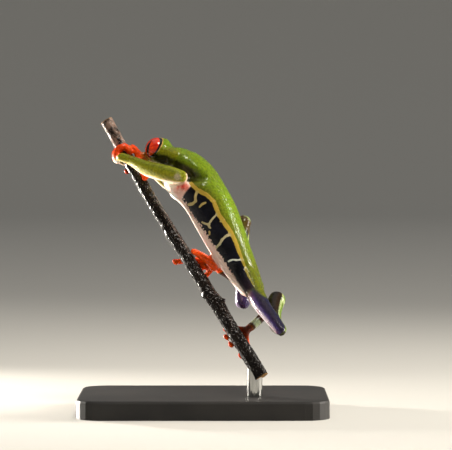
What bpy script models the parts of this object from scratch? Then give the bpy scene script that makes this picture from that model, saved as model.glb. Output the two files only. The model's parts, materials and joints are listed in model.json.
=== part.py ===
"""Red-eyed tree frog gripping a cut length of branch, life size, on a plain stand.

Lengths are written in millimetres and turned to metres by MM. The frog and the branch are
modelled in the branch's own frame: x runs up the branch, y to the frog's left, z away from
the branch through the frog's back. One empty tilts that frame over the stand. Each limb, and
the head with the trunk, is modelled whole and then parted by thin cuts.
"""
import math

import bmesh
import bpy
from mathutils import Matrix, Vector

MM = 0.001
GAP = 0.3               # space between neighbouring pieces

# stand
BASE_LENGTH, BASE_DEPTH, BASE_HEIGHT = 80.0, 56.0, 6.0
BASE_CORNER, BASE_EDGE = 8.0, 0.8
ROD_RADIUS = 2.5
ROD_GRIP = -56.5        # place along the branch that the rod holds

# branch
BRANCH_FOOT, BRANCH_TOP = -61.0, 38.0
BRANCH_ORIGIN = Vector((-13.0, 3.0, 62.0))  # where x = 0 on the branch stands over the base
BRANCH_SLOPE = math.degrees(math.atan2(0.539, 0.842))   # from upright, to the left
LEAN_AWAY = 15.0        # the branch's top leans back by this much

# head
HEAD_CENTRE = Vector((18.1, -3.6, 12.0))    # midway between the eyes
HEAD_FLEX, HEAD_YAW = 40.0, 20.0            # bowed to the branch, and turned to the right
EYE_SPREAD = 7.0        # from the middle to each eye's centre
EYE_RADIUS = 3.85
EYE_AIM = Vector((0.22, 0.965, -0.03)).normalized()     # forward, outward, up
ORBIT_RADIUS = 4.58
ORBIT_SINK = 1.0        # how far the orbit's mound lies behind the eye's centre

# mounds under the skin: place up the branch and out of it, spread to each side, half sizes
SHOULDER_PLACE, SHOULDER_SPREAD, SHOULDER_SIZE = (6.0, 9.8), 5.2, (4.6, 3.6, 3.6)
HIP_PLACE, HIP_SPREAD, HIP_SIZE, HIP_TURN = (-33.5, 12.6), 3.6, (5.0, 3.4, 3.8), 28.0

# melting of the forms into one skin: grain in mm, rounds of softening, triangles
BODY_MELT = (0.5, 5, 1500)
ARM_MELT, LEG_MELT = (0.3, 2, 700), (0.3, 2, 920)

# cuts that part the flesh: how far in from the joint and half how wide, in mm
ELBOW_CUT, KNEE_CUT, HEEL_CUT = (17.0, 6.0), (19.0, 6.0), (9.0, 4.2)
CUT_OUTSIDE = 4.5       # how far a bend's cut starts outside the joint
WRIST_CUT, ANKLE_CUT = 3.0, 4.5                 # radius of a cut across a limb
NECK_CUT = Vector((11.4, 0.0, 14.0))
NECK_CUT_RADIUS, NECK_CUT_FLEX, NECK_CUT_YAW = 16.0, 18.0, 6.0
CREASE_ANGLE = 40.0     # edges sharper than this stay crisp


# --- frames -------------------------------------------------------------------------------

def head_axes(flex, yaw):
    """Forward, left and up of a section bowed by flex and turned right by yaw, in degrees."""
    cf, sf = math.cos(math.radians(flex)), math.sin(math.radians(flex))
    cy, sy = math.cos(math.radians(yaw)), math.sin(math.radians(yaw))
    return (Vector((cf * cy, -sy, -sf * cy)), Vector((sy * cf, cy, -sy * sf)),
            Vector((sf, 0.0, cf)))


def head_point(forward, left, up):
    axes = head_axes(HEAD_FLEX, HEAD_YAW)
    return HEAD_CENTRE + axes[0] * forward + axes[1] * left + axes[2] * up


def eye_centre(side):
    return head_point(0.0, side * EYE_SPREAD, 0.0)


def eye_axis(side):
    axes = head_axes(HEAD_FLEX, HEAD_YAW)
    return axes[0] * EYE_AIM.x + axes[1] * side * EYE_AIM.y + axes[2] * EYE_AIM.z


def branch_centre(x):
    """The branch is straight below the frog's chest and bends up gently above it."""
    rise = max(0.0, x - 3.0)
    return Vector((x, 0.0, 0.045 * rise * rise / (rise + 4.0)))


def branch_radius(x):
    return 2.28 + 0.12 * math.tanh(-(x + 15.0) / 12.0) + 0.05 * math.sin(x * 0.55)


def around(x, turn, lift):
    """A point lift mm off the bark; turn is 0 on the frog's side, 90 on its left."""
    radial = Vector((0.0, math.sin(math.radians(turn)), math.cos(math.radians(turn))))
    return branch_centre(x) + radial * (branch_radius(x) + lift), radial


# --- mesh helpers -------------------------------------------------------------------------

def smooth_rows(rows, steps):
    """Catmull-Rom rows between the given ones, each value by itself."""
    out = []
    for i in range(len(rows) - 1):
        p0, p1 = rows[max(i - 1, 0)], rows[i]
        p2, p3 = rows[i + 1], rows[min(i + 2, len(rows) - 1)]
        for k in range(steps):
            t = k / steps
            out.append([0.5 * (2 * b + (c - a) * t + (2 * a - 5 * b + 4 * c - d) * t * t
                               + (3 * b - a - 3 * c + d) * t ** 3)
                        for a, b, c, d in zip(p0, p1, p2, p3)])
    out.append(list(rows[-1]))
    return out


def skin_rings(bm, rings):
    """Walls between rings of points, and a flat cap on each end."""
    loops = [[bm.verts.new(p * MM) for p in ring] for ring in rings]
    count = len(loops[0])
    for low, high in zip(loops, loops[1:]):
        for i in range(count):
            j = (i + 1) % count
            bm.faces.new((low[i], low[j], high[j], high[i]))
    bm.faces.new(loops[0][::-1])
    bm.faces.new(loops[-1])


def oval(centre, side, up, half_width, above, below, sides, square=1.0):
    """Points of an oval with its own height above and below its widest line."""
    ring = []
    for i in range(sides):
        t = 2 * math.pi * i / sides
        c, s = math.cos(t), math.sin(t)
        c = math.copysign(abs(c) ** square, c)
        s = math.copysign(abs(s) ** square, s)
        ring.append(centre + side * (half_width * c) + up * ((above if s > 0 else below) * s))
    return ring


def limb_into(bm, rows, sides=14, steps=5):
    """A round limb with domed ends through rows of (x, y, z, radius)."""
    rows = smooth_rows(rows, steps)
    points = [Vector(r[:3]) for r in rows]
    radii = [r[3] for r in rows]
    ways = [(points[min(i + 1, len(points) - 1)] - points[max(i - 1, 0)]).normalized()
            for i in range(len(points))]
    side = ways[0].orthogonal().normalized()
    rings = []

    def dome(at, way, radius, sign):
        return [(at + way * (sign * radius * math.sin(a)), radius * math.cos(a))
                for a in (math.radians(78), math.radians(52), math.radians(26))]

    stations = [(p, r, ways[0]) for p, r in dome(points[0], ways[0], radii[0], -1)]
    stations += list(zip(points, radii, ways))
    stations += [(p, r, ways[-1])
                 for p, r in reversed(dome(points[-1], ways[-1], radii[-1], 1))]
    for centre, radius, way in stations:
        side = (side - way * side.dot(way)).normalized()
        up = way.cross(side)
        rings.append(oval(centre, side, up, radius, radius, radius, sides))
    skin_rings(bm, rings)


def digit_into(bm, rows, pad, sides=12, steps=4):
    """A finger or toe: rows of (x, turn, lift, half width, half height), then its round pad."""
    rows = smooth_rows(rows, steps)
    rings = []
    placed = [around(*r[:3]) for r in rows]
    last = len(rows) - 1
    for i, row in enumerate(rows):
        centre, radial = placed[i]
        way = (placed[min(i + 1, last)][0] - placed[max(i - 1, 0)][0]).normalized()
        up = (radial - way * radial.dot(way)).normalized()
        rings.append(oval(centre, up.cross(way), up, row[3], row[4], row[4], sides))
    skin_rings(bm, rings)
    tip, radial = placed[last]
    way = (tip - placed[last - 1][0]).normalized()
    up = (radial - way * radial.dot(way)).normalized()
    ball_into(bm, tip, (way, up.cross(way), up), (pad * 1.05, pad, pad * 0.62))


def ball_into(bm, centre, axes, halves, across=14):
    """A stretched ball with its three half sizes along the given axes."""
    turn = Matrix(axes).transposed().to_4x4()
    if turn.determinant() < 0:
        turn = turn @ Matrix.Scale(-1, 4, (1, 0, 0))
    place = Matrix.Translation(centre * MM) @ turn @ Matrix.Diagonal(Vector(halves) * MM).to_4x4()
    bmesh.ops.create_uvsphere(bm, u_segments=across, v_segments=across - 4, radius=1.0,
                              matrix=place)


def new_object(name, bm):
    bmesh.ops.recalc_face_normals(bm, faces=bm.faces)
    mesh = bpy.data.meshes.new(name)
    bm.to_mesh(mesh)
    bm.free()
    obj = bpy.data.objects.new(name, mesh)
    bpy.context.scene.collection.objects.link(obj)
    return obj


def bake(obj):
    """Put the result of the object's modifiers into its own mesh."""
    bpy.context.view_layer.update()
    graph = bpy.context.evaluated_depsgraph_get()
    mesh = bpy.data.meshes.new_from_object(obj.evaluated_get(graph))
    obj.modifiers.clear()
    obj.data = mesh
    return obj


def drop(*objects):
    for obj in objects:
        bpy.data.objects.remove(obj, do_unlink=True)


def carve(obj, cutter):
    cut = obj.modifiers.new("cut", "BOOLEAN")
    cut.operation, cut.solver, cut.object = "DIFFERENCE", "EXACT", cutter
    return bake(obj)


def fuse(obj, voxel, rounds, triangles):
    """Melt overlapping forms into one skin of about the given number of triangles."""
    remesh = obj.modifiers.new("melt", "REMESH")
    remesh.mode, remesh.voxel_size = "VOXEL", voxel * MM
    soften = obj.modifiers.new("soften", "SMOOTH")
    soften.factor, soften.iterations = 0.5, rounds
    bake(obj)
    thin = obj.modifiers.new("thin", "DECIMATE")
    thin.ratio = triangles / (2.0 * len(obj.data.polygons))
    return bake(obj)


def grown(obj, by):
    """A copy of the object swollen outward, to carve its neighbours with."""
    copy = bpy.data.objects.new(obj.name + "_room", obj.data.copy())
    bpy.context.scene.collection.objects.link(copy)
    copy.matrix_world = obj.matrix_world
    swell = copy.modifiers.new("swell", "DISPLACE")
    swell.strength, swell.mid_level = by * MM, 0.0
    return bake(copy)


def slit(centre, normal, length_way, half_length, half_width):
    """An oval cutter one gap thick."""
    long_way = (length_way - normal * length_way.dot(normal)).normalized()
    turn = Matrix((long_way, normal.cross(long_way), normal)).transposed().to_4x4()
    size = Matrix.Diagonal((half_length * MM, half_width * MM, GAP * MM, 1.0))
    bm = bmesh.new()
    bmesh.ops.create_cone(bm, cap_ends=True, segments=24, radius1=1.0, radius2=1.0, depth=1.0,
                          matrix=Matrix.Translation(Vector(centre) * MM) @ turn @ size)
    return new_object("slit", bm)


def part_at(obj, cuts, seeds):
    """Part a whole at its cuts; each seed (name, point) names the piece nearest to it."""
    for cut in cuts:
        cutter = slit(*cut)
        carve(obj, cutter)
        drop(cutter)
    bm = bmesh.new()
    bm.from_mesh(obj.data)
    islands, seen = [], set()
    for start in bm.verts:
        if start in seen:
            continue
        island, front = [], [start]
        seen.add(start)
        while front:
            vert = front.pop()
            island.append(vert)
            for edge in vert.link_edges:
                other = edge.other_vert(vert)
                if other not in seen:
                    seen.add(other)
                    front.append(other)
        islands.append(island)
    middles = [sum((v.co for v in island), Vector()) / len(island) / MM for island in islands]
    pieces = []
    for name, seed in seeds:
        near = min(range(len(islands)), key=lambda i: (middles[i] - Vector(seed)).length)
        keep = set(islands[near])
        piece = bm.copy()
        piece.verts.ensure_lookup_table()
        kept = {v.index for v in keep}
        away = [v for v in piece.verts if v.index not in kept]
        bmesh.ops.delete(piece, geom=away, context="VERTS")
        pieces.append(new_object(name, piece))
    bm.free()
    drop(obj)
    return pieces


def material(name, hex_colour, roughness, metallic=0.0):
    parts = [int(hex_colour[i:i + 2], 16) / 255 for i in (0, 2, 4)]
    linear = [c / 12.92 if c <= 0.04045 else ((c + 0.055) / 1.055) ** 2.4 for c in parts]
    mat = bpy.data.materials.new(name)
    mat.use_nodes = True
    shader = mat.node_tree.nodes["Principled BSDF"]
    shader.inputs["Base Color"].default_value = (*linear, 1.0)
    shader.inputs["Roughness"].default_value = roughness
    shader.inputs["Metallic"].default_value = metallic
    mat.diffuse_color = (*linear, 1.0)
    return mat


# --- the branch ---------------------------------------------------------------------------

# knots on the bark: place, turn, height, spread
KNOTS = ((-33.2, 12.0, 1.9, 0.9), (-29.0, 150.0, 0.7, 1.4), (-6.0, 200.0, 0.6, 1.6),
         (9.0, 130.0, 0.4, 1.3), (33.0, 60.0, 0.45, 1.3), (-54.0, 300.0, 0.7, 1.6))


def perch_rings(extra):
    sides, rings = 14, []
    count = 18
    places = {BRANCH_FOOT + (BRANCH_TOP - BRANCH_FOOT) * k / count for k in range(count + 1)}
    places |= {place + step * spread for place, _, _, spread in KNOTS for step in (-1, 0, 1)}
    for x in sorted(places):
        ring = []
        for i in range(sides):
            turn = 360.0 * i / sides
            height = extra
            for place, face, rise, spread in KNOTS:
                off = (turn - face + 180.0) % 360.0 - 180.0
                across = math.radians(off) * branch_radius(x)
                height += rise * math.exp(-((x - place) ** 2 + across ** 2) / spread ** 2)
            ring.append(around(x, turn, height)[0])
        rings.append(ring)
    return rings


def make_perch(name, extra=0.0):
    bm = bmesh.new()
    skin_rings(bm, perch_rings(extra))
    return new_object(name, bm)


# --- head and trunk -----------------------------------------------------------------------

# trunk and neck: centre x, y, z, flex, yaw, half width, height above, depth below
TRUNK = ((-39.3, 0, 14.0, 0, 0, 0.9, 0.7, 0.9), (-38.3, 0, 13.7, 0, 0, 2.7, 1.5, 2.2),
         (-36.4, 0, 13.2, 0, 0, 4.4, 2.5, 3.6), (-33.4, 0, 12.7, 0, 0, 5.8, 4.0, 4.5),
         (-29.5, 0, 12.6, 0, 0, 6.7, 5.1, 4.9), (-24.0, 0, 12.8, 0, 0, 7.3, 6.1, 5.5),
         (-17.0, 0, 13.3, 0, 0, 7.9, 7.3, 6.2), (-9.0, 0, 14.0, 0, 0, 8.5, 8.3, 6.6),
         (-1.0, 0, 14.4, 0, 0, 9.0, 8.4, 6.7), (5.0, 0, 14.4, 0, 0, 9.2, 8.4, 8.0),
         (9.5, 0.1, 14.5, 8, 2, 9.1, 7.0, 8.2), (12.2, -0.4, 14.0, 22, 9, 9.4, 5.5, 7.3))
# head: place forward of the eyes, centre height, half width, height above, depth below
HEAD = ((-5.0, -1.5, 10.0, 4.4, 5.2), (-1.0, -1.7, 9.5, 4.4, 4.7), (2.5, -1.9, 7.7, 3.9, 4.1),
        (4.9, -2.5, 5.7, 2.7, 3.1), (6.4, -2.9, 3.5, 1.8, 2.1), (7.2, -3.0, 1.4, 0.8, 0.9))


def make_body():
    rows = [list(row) for row in TRUNK]
    for forward, height, half_width, above, below in HEAD:
        rows.append([*head_point(forward, 0.0, height), HEAD_FLEX, HEAD_YAW,
                     half_width, above, below])
    rings = []
    for x, y, z, flex, yaw, half_width, above, below in smooth_rows(rows, 4):
        _, left, up = head_axes(flex, yaw)
        rings.append(oval(Vector((x, y, z)), left, up, half_width, above, below, 28, 0.92))
    bm = bmesh.new()
    skin_rings(bm, rings)
    axes = head_axes(HEAD_FLEX, HEAD_YAW)
    for side in (1, -1):
        ball_into(bm, eye_centre(side) - eye_axis(side) * ORBIT_SINK, axes,
                  (ORBIT_RADIUS,) * 3, 20)
        ball_into(bm, Vector((SHOULDER_PLACE[0], side * SHOULDER_SPREAD, SHOULDER_PLACE[1])),
                  axes, SHOULDER_SIZE)
        ball_into(bm, Vector((HIP_PLACE[0], side * HIP_SPREAD, HIP_PLACE[1])),
                  head_axes(0, side * HIP_TURN), HIP_SIZE)
    body = new_object("body", bm)
    return fuse(body, *BODY_MELT)


def make_eye(name, side, radius):
    bm = bmesh.new()
    axis = eye_axis(side)
    side_way = axis.orthogonal().normalized()
    ball_into(bm, eye_centre(side), (side_way, axis.cross(side_way), axis), (radius,) * 3, 14)
    return new_object(name, bm)


# --- limbs --------------------------------------------------------------------------------

# rows of x, y, z, radius; the joints are where neighbouring rows of two lists meet
LEFT_ARM = ((9.0, 4.6, 9.0, 3.0), (7.2, 8.6, 11.2, 2.8), (5.3, 12.1, 12.8, 2.1),
            (6.8, 12.4, 11.3, 2.45), (9.8, 11.2, 8.6, 2.75), (14.8, 8.2, 4.7, 2.5),
            (20.8, 5.4, 1.6, 1.65), (23.9, 4.4, -0.6, 1.5))
RIGHT_ARM = ((9.0, -4.6, 8.6, 3.0), (6.8, -8.4, 10.4, 2.8), (4.4, -12.2, 11.4, 2.2),
             (5.9, -12.0, 10.0, 2.2), (8.8, -9.6, 8.4, 2.3), (12.0, -6.4, 6.8, 2.0),
             (14.9, -3.8, 5.6, 1.55), (16.6, -2.6, 5.3, 1.5))
LEFT_THIGH = ((-32.0, 4.0, 12.7, 3.8), (-38.6, 7.5, 12.4, 3.1), (-45.4, 11.4, 12.5, 2.5),
              (-51.2, 14.7, 13.1, 2.15), (-54.8, 16.6, 13.3, 1.8))
LEFT_SHANK = ((-54.4, 15.6, 13.5, 1.8), (-52.0, 10.0, 12.9, 2.3), (-48.9, 3.5, 12.8, 2.3),
              (-45.4, -2.8, 13.8, 2.4), (-42.4, -6.2, 15.4, 2.8), (-40.9, -8.2, 16.8, 3.0))
LEFT_TARSUS = ((-41.0, -8.2, 16.6, 2.4), (-42.6, -6.8, 12.9, 1.6), (-44.0, -4.8, 8.7, 1.45),
               (-44.9, -2.9, 5.1, 1.45))
RIGHT_THIGH = ((-33.0, -4.0, 11.9, 3.9), (-27.0, -7.2, 13.2, 3.2), (-20.2, -10.8, 15.2, 2.8),
               (-14.8, -13.2, 18.6, 2.3), (-12.0, -14.2, 21.2, 2.5))
RIGHT_SHANK = ((-12.4, -15.6, 20.6, 2.3), (-17.5, -16.6, 16.6, 2.4), (-24.0, -15.6, 12.4, 2.5),
               (-30.0, -13.2, 10.4, 2.2), (-34.4, -11.0, 7.8, 2.9))
RIGHT_TARSUS = ((-34.6, -10.6, 7.6, 2.9), (-30.5, -9.4, 8.5, 1.2), (-26.8, -9.2, 8.3, 1.2),
                (-23.5, -3.8, 6.7, 1.4))

# digits: rows of place, turn, lift, half width, half height; then the pad's radius
LEFT_FINGERS = (
    (((25.8, 146, 1.6, 1.2, 1.0), (26.8, 122, 1.1, 1.1, 0.85), (27.2, 94, 0.9, 1.1, 0.8),
      (26.8, 66, 0.8, 1.05, 0.75)), 1.3),
    (((26.2, 160, 1.3, 1.0, 0.9), (27.6, 186, 0.8, 0.9, 0.75), (28.6, 222, 0.7, 0.85, 0.7),
      (29.0, 258, 0.8, 0.8, 0.7)), 1.25),
    (((25.5, 160, 1.3, 1.0, 0.9), (26.0, 196, 0.8, 0.9, 0.75), (26.2, 238, 0.7, 0.85, 0.7),
      (26.2, 276, 0.8, 0.8, 0.7)), 1.25),
    (((24.9, 158, 1.3, 1.0, 0.9), (24.2, 184, 0.7, 0.9, 0.7), (23.8, 208, 0.6, 0.85, 0.7),
      (23.4, 232, 0.8, 0.8, 0.7)), 1.15))
RIGHT_FINGERS = (
    (((16.0, -10, 2.0, 1.1, 0.9), (15.0, 12, 1.4, 0.9, 0.8), (14.4, 34, 1.0, 0.85, 0.7),
      (14.2, 54, 0.8, 0.8, 0.7)), 1.1),
    (((18.2, -45, 1.8, 1.1, 0.9), (19.8, -84, 1.1, 0.85, 0.75), (20.5, -124, 0.8, 0.8, 0.7),
      (20.2, -156, 0.6, 0.8, 0.6)), 1.2),
    (((18.2, -32, 2.0, 1.1, 0.9), (20.0, -52, 1.2, 0.85, 0.75), (21.4, -70, 0.9, 0.8, 0.7),
      (22.2, -84, 0.8, 0.8, 0.7)), 1.2),
    (((17.0, -10, 2.6, 1.2, 1.15), (19.6, 0, 2.2, 1.3, 1.25), (22.4, 8, 1.7, 1.3, 1.25),
      (25.2, 14, 1.3, 1.1, 1.05)), 1.45))
LEFT_TOES = (
    (((-44.4, -40, 1.7, 1.1, 0.9), (-42.8, -66, 1.1, 0.9, 0.75), (-41.5, -96, 0.9, 0.8, 0.7),
      (-41.1, -124, 0.8, 0.8, 0.7)), 1.15),
    (((-44.8, -40, 1.7, 1.1, 0.9), (-44.2, -78, 1.1, 0.9, 0.75), (-43.7, -122, 0.9, 0.8, 0.7),
      (-43.6, -156, 0.8, 0.8, 0.7)), 1.2),
    (((-45.2, -40, 1.7, 1.1, 0.9), (-46.0, -80, 1.1, 0.9, 0.75), (-46.5, -124, 0.9, 0.8, 0.7),
      (-46.6, -160, 0.8, 0.8, 0.7)), 1.25),
    (((-45.4, -40, 1.7, 1.1, 0.9), (-47.6, -72, 1.1, 0.95, 0.8), (-49.6, -102, 0.9, 0.9, 0.7),
      (-51.0, -128, 0.8, 0.85, 0.7)), 1.3),
    (((-45.4, -40, 1.7, 1.1, 0.9), (-47.8, -56, 1.1, 0.95, 0.8), (-49.8, -68, 0.8, 0.9, 0.7),
      (-51.4, -78, 0.7, 0.85, 0.7)), 1.2))
RIGHT_TOES = (
    (((-21.6, -6, 3.3, 1.3, 1.3), (-19.4, 2, 2.8, 1.4, 1.4), (-17.2, 12, 1.9, 1.3, 1.3),
      (-15.2, 24, 1.2, 1.05, 0.95)), 1.6),
    (((-21.4, -14, 3.4, 1.1, 1.0), (-18.7, -27, 2.5, 0.95, 0.85), (-16.4, -62, 1.4, 0.9, 0.8),
      (-14.8, -110, 1.2, 0.95, 0.85), (-13.7, -152, 2.2, 1.0, 0.9)), 1.3),
    (((-21.5, -16, 3.4, 1.1, 1.0), (-19.0, -36, 2.2, 0.9, 0.8), (-17.8, -68, 1.1, 0.85, 0.75),
      (-17.4, -100, 0.7, 0.85, 0.7)), 1.2),
    (((-21.6, -18, 3.4, 1.1, 1.0), (-20.0, -40, 2.1, 0.9, 0.8), (-19.9, -72, 1.0, 0.85, 0.7),
      (-20.4, -102, 0.7, 0.85, 0.7)), 1.15),
    (((-21.8, -22, 3.3, 1.1, 1.0), (-22.4, -54, 2.0, 0.9, 0.8), (-23.2, -86, 1.0, 0.85, 0.75),
      (-24.0, -110, 0.7, 0.85, 0.7)), 1.1))


def bend_cut(before, joint, after, cut):
    """The slit that halves a folded joint's angle; cut is how far in it reaches and half
    how wide it is."""
    reach, half_width = cut
    joint = Vector(joint)
    a = (Vector(before) - joint).normalized()
    b = (Vector(after) - joint).normalized()
    inner = (a + b).normalized()
    middle = joint + inner * ((reach - CUT_OUTSIDE) / 2)
    half_length = (reach + CUT_OUTSIDE) / 2
    return middle, (a - b).normalized(), inner, half_length, half_width


def across_cut(rows, index, radius):
    """The slit across a limb at one of its rows."""
    way = Vector(rows[min(index + 1, len(rows) - 1)][:3]) - Vector(rows[index - 1][:3])
    way = way.normalized()
    return Vector(rows[index][:3]), way, way.orthogonal(), radius, radius


def make_whole(name, lengths, digits, palm, melt):
    """A limb and its hand or foot in one piece, before it is parted."""
    bm = bmesh.new()
    for rows in lengths:
        limb_into(bm, rows)
    for rows, pad in digits:
        digit_into(bm, rows, pad)
    place, halves = palm
    centre, radial = around(*place)
    along = Vector((1.0, 0.0, 0.0))
    ball_into(bm, centre, (along, radial.cross(along), radial), halves)
    return fuse(new_object(name, bm), *melt)


# palms and soles: place, turn and lift on the branch, and half sizes
LEFT_PALM, RIGHT_PALM = ((25.0, 145, 1.5), (2.0, 2.0, 1.2)), ((17.4, -25, 2.2), (2.0, 2.0, 1.2))
LEFT_SOLE, RIGHT_SOLE = ((-45.2, -40, 1.7), (1.7, 1.7, 1.2)), ((-21.9, -12, 3.4), (1.9, 1.7, 1.35))


def make_limbs(body_room, perch_room):
    arms = (("left", LEFT_ARM, LEFT_FINGERS, LEFT_PALM),
            ("right", RIGHT_ARM, RIGHT_FINGERS, RIGHT_PALM))
    legs = (("left", LEFT_THIGH, LEFT_SHANK, LEFT_TARSUS, LEFT_TOES, LEFT_SOLE),
            ("right", RIGHT_THIGH, RIGHT_SHANK, RIGHT_TARSUS, RIGHT_TOES, RIGHT_SOLE))
    pieces = []
    for side, rows, digits, palm in arms:
        arm = make_whole("arm_" + side, [rows], digits, palm, ARM_MELT)
        carve(arm, body_room)
        carve(arm, perch_room)
        elbow = bend_cut(rows[1][:3], rows[2][:3], rows[4][:3], ELBOW_CUT)
        wrist = across_cut(rows, len(rows) - 2, WRIST_CUT)
        pieces += part_at(arm, [elbow, wrist], (
            ("upper_arm_" + side, rows[1][:3]), ("forearm_" + side, rows[4][:3]),
            ("hand_" + side, around(*palm[0])[0])))
    for side, thigh, shank, tarsus, digits, sole in legs:
        leg = make_whole("leg_" + side, [thigh, shank, tarsus], digits, sole, LEG_MELT)
        carve(leg, body_room)
        carve(leg, perch_room)
        knee_middle = (Vector(thigh[-1][:3]) + Vector(shank[0][:3])) / 2
        knee = bend_cut(thigh[-3][:3], knee_middle, shank[2][:3], KNEE_CUT)
        heel = bend_cut(shank[-3][:3], shank[-1][:3], tarsus[1][:3], HEEL_CUT)
        ankle = across_cut(tarsus, len(tarsus) - 1, ANKLE_CUT)
        pieces += part_at(leg, [knee, heel, ankle], (
            ("thigh_" + side, thigh[1][:3]), ("shank_" + side, shank[2][:3]),
            ("tarsus_" + side, tarsus[1][:3]), ("foot_" + side, around(*sole[0])[0])))
    return pieces


# --- the stand ----------------------------------------------------------------------------

def make_base():
    bm = bmesh.new()
    bmesh.ops.create_cube(bm, size=1.0)
    bmesh.ops.scale(bm, verts=bm.verts,
                    vec=Vector((BASE_LENGTH, BASE_DEPTH, BASE_HEIGHT)) * MM)
    bmesh.ops.translate(bm, verts=bm.verts, vec=(0, 0, BASE_HEIGHT / 2 * MM))
    posts = [e for e in bm.edges if abs(e.verts[0].co.z - e.verts[1].co.z) > MM]
    bmesh.ops.bevel(bm, geom=posts, offset=BASE_CORNER * MM, segments=5, profile=0.5,
                    affect="EDGES")
    rim = [e for e in bm.edges if min(v.co.z for v in e.verts) > (BASE_HEIGHT - 0.01) * MM]
    bmesh.ops.bevel(bm, geom=rim, offset=BASE_EDGE * MM, segments=2, profile=0.5,
                    affect="EDGES")
    return new_object("stand_base", bm)


def make_rod(tilt, perch_room):
    grip = tilt @ (branch_centre(ROD_GRIP) * MM)
    low = (BASE_HEIGHT + GAP) * MM
    bm = bmesh.new()
    bmesh.ops.create_cone(bm, cap_ends=True, segments=20, radius1=ROD_RADIUS * MM,
                          radius2=ROD_RADIUS * MM, depth=grip.z - low,
                          matrix=Matrix.Translation((grip.x, grip.y, (grip.z + low) / 2)))
    return carve(new_object("stand_rod", bm), perch_room)


# --- assembly -----------------------------------------------------------------------------

def branch_tilt():
    """Turns the branch's frame over: its top goes left and up, and then leans back."""
    slope, lean = math.radians(BRANCH_SLOPE), math.radians(LEAN_AWAY)
    along = Vector((-math.sin(slope), 0.0, math.cos(slope)))
    away = Vector((0.0, 1.0, 0.0))
    back = Vector((math.cos(slope), 0.0, math.sin(slope)))
    x_way = along * math.cos(lean) + away * math.sin(lean)
    y_way = back.cross(x_way)
    turn = Matrix((x_way, y_way, back)).transposed().to_4x4()
    return Matrix.Translation(BRANCH_ORIGIN * MM) @ turn


def main():
    for obj in list(bpy.data.objects):
        bpy.data.objects.remove(obj, do_unlink=True)
    looks = {"back": material("green_skin", "7FA62A", 0.3),
             "limb": material("olive_skin", "A8A838", 0.32),
             "thigh": material("violet_skin", "4A4078", 0.3),
             "digit": material("orange_skin", "E8561A", 0.28),
             "eye": material("red_eye", "E8300C", 0.08),
             "bark": material("wet_bark", "2A1A12", 0.4),
             "base": material("base_paint", "3A3835", 0.5),
             "rod": material("rod_steel", "8A8A88", 0.35, 1.0)}
    tilt = branch_tilt()

    perch = make_perch("perch")
    perch_room = make_perch("perch_room", GAP)
    body = make_body()
    body_room = grown(body, GAP)
    for name, side in (("eye_socket_left", 1), ("eye_socket_right", -1)):
        socket = make_eye(name, side, EYE_RADIUS + GAP)
        carve(body, socket)
        drop(socket)
    frog = make_limbs(body_room, perch_room)
    neck_axes = head_axes(NECK_CUT_FLEX, NECK_CUT_YAW)
    neck = (NECK_CUT, neck_axes[0], neck_axes[1], NECK_CUT_RADIUS, NECK_CUT_RADIUS)
    frog += part_at(body, [neck], (("trunk", (-12.0, 0.0, 14.0)), ("head", HEAD_CENTRE)))
    frog += [make_eye("eye_left", 1, EYE_RADIUS), make_eye("eye_right", -1, EYE_RADIUS)]

    drop(body_room)
    tilter = bpy.data.objects.new("branch_tilt", None)
    bpy.context.scene.collection.objects.link(tilter)
    tilter.matrix_world = tilt
    for obj in [perch, perch_room] + frog:
        obj.parent = tilter
    base = make_base()
    rod = make_rod(tilt, perch_room)
    drop(perch_room)

    slots = (("eye", "eye"), ("hand", "digit"), ("foot", "digit"), ("thigh", "thigh"),
             ("shank", "thigh"), ("tarsus", "limb"), ("upper_arm", "limb"), ("forearm", "limb"),
             ("trunk", "back"), ("head", "back"), ("perch", "bark"), ("stand_base", "base"),
             ("stand_rod", "rod"))
    for obj in frog + [perch, base, rod]:
        kind = next(look for start, look in slots if obj.name.startswith(start))
        obj.data.materials.clear()
        obj.data.materials.append(looks[kind])
        obj.data.shade_smooth()
        obj.data.set_sharp_from_angle(angle=math.radians(CREASE_ANGLE))


main()
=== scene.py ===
"""Red-eyed tree frog on a cut branch: the finished looks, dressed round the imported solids."""

import json
import math

import bpy
import numpy as np
from mathutils import Matrix, Vector, noise
from mathutils.bvhtree import BVHTree

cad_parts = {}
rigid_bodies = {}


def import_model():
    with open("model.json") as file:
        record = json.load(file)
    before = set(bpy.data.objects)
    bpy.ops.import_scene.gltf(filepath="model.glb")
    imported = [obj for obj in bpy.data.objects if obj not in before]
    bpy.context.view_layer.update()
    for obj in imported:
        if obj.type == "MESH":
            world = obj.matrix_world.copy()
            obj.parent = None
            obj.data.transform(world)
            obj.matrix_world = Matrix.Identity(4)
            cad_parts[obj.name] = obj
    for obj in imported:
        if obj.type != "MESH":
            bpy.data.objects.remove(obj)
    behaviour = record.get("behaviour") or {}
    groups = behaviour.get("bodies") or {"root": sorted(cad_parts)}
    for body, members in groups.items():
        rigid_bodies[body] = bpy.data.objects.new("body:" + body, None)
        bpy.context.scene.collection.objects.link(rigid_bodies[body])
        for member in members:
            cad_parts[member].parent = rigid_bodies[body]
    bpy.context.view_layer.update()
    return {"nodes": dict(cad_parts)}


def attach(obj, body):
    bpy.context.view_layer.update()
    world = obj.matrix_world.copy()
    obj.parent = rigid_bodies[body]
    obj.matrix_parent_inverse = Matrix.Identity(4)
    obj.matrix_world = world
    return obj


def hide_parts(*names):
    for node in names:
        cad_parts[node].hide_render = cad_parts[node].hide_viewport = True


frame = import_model()
MM = 0.001

# --- the frog's own axes: x up the branch, y to its left, z out of its back, in mm ---------

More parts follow.
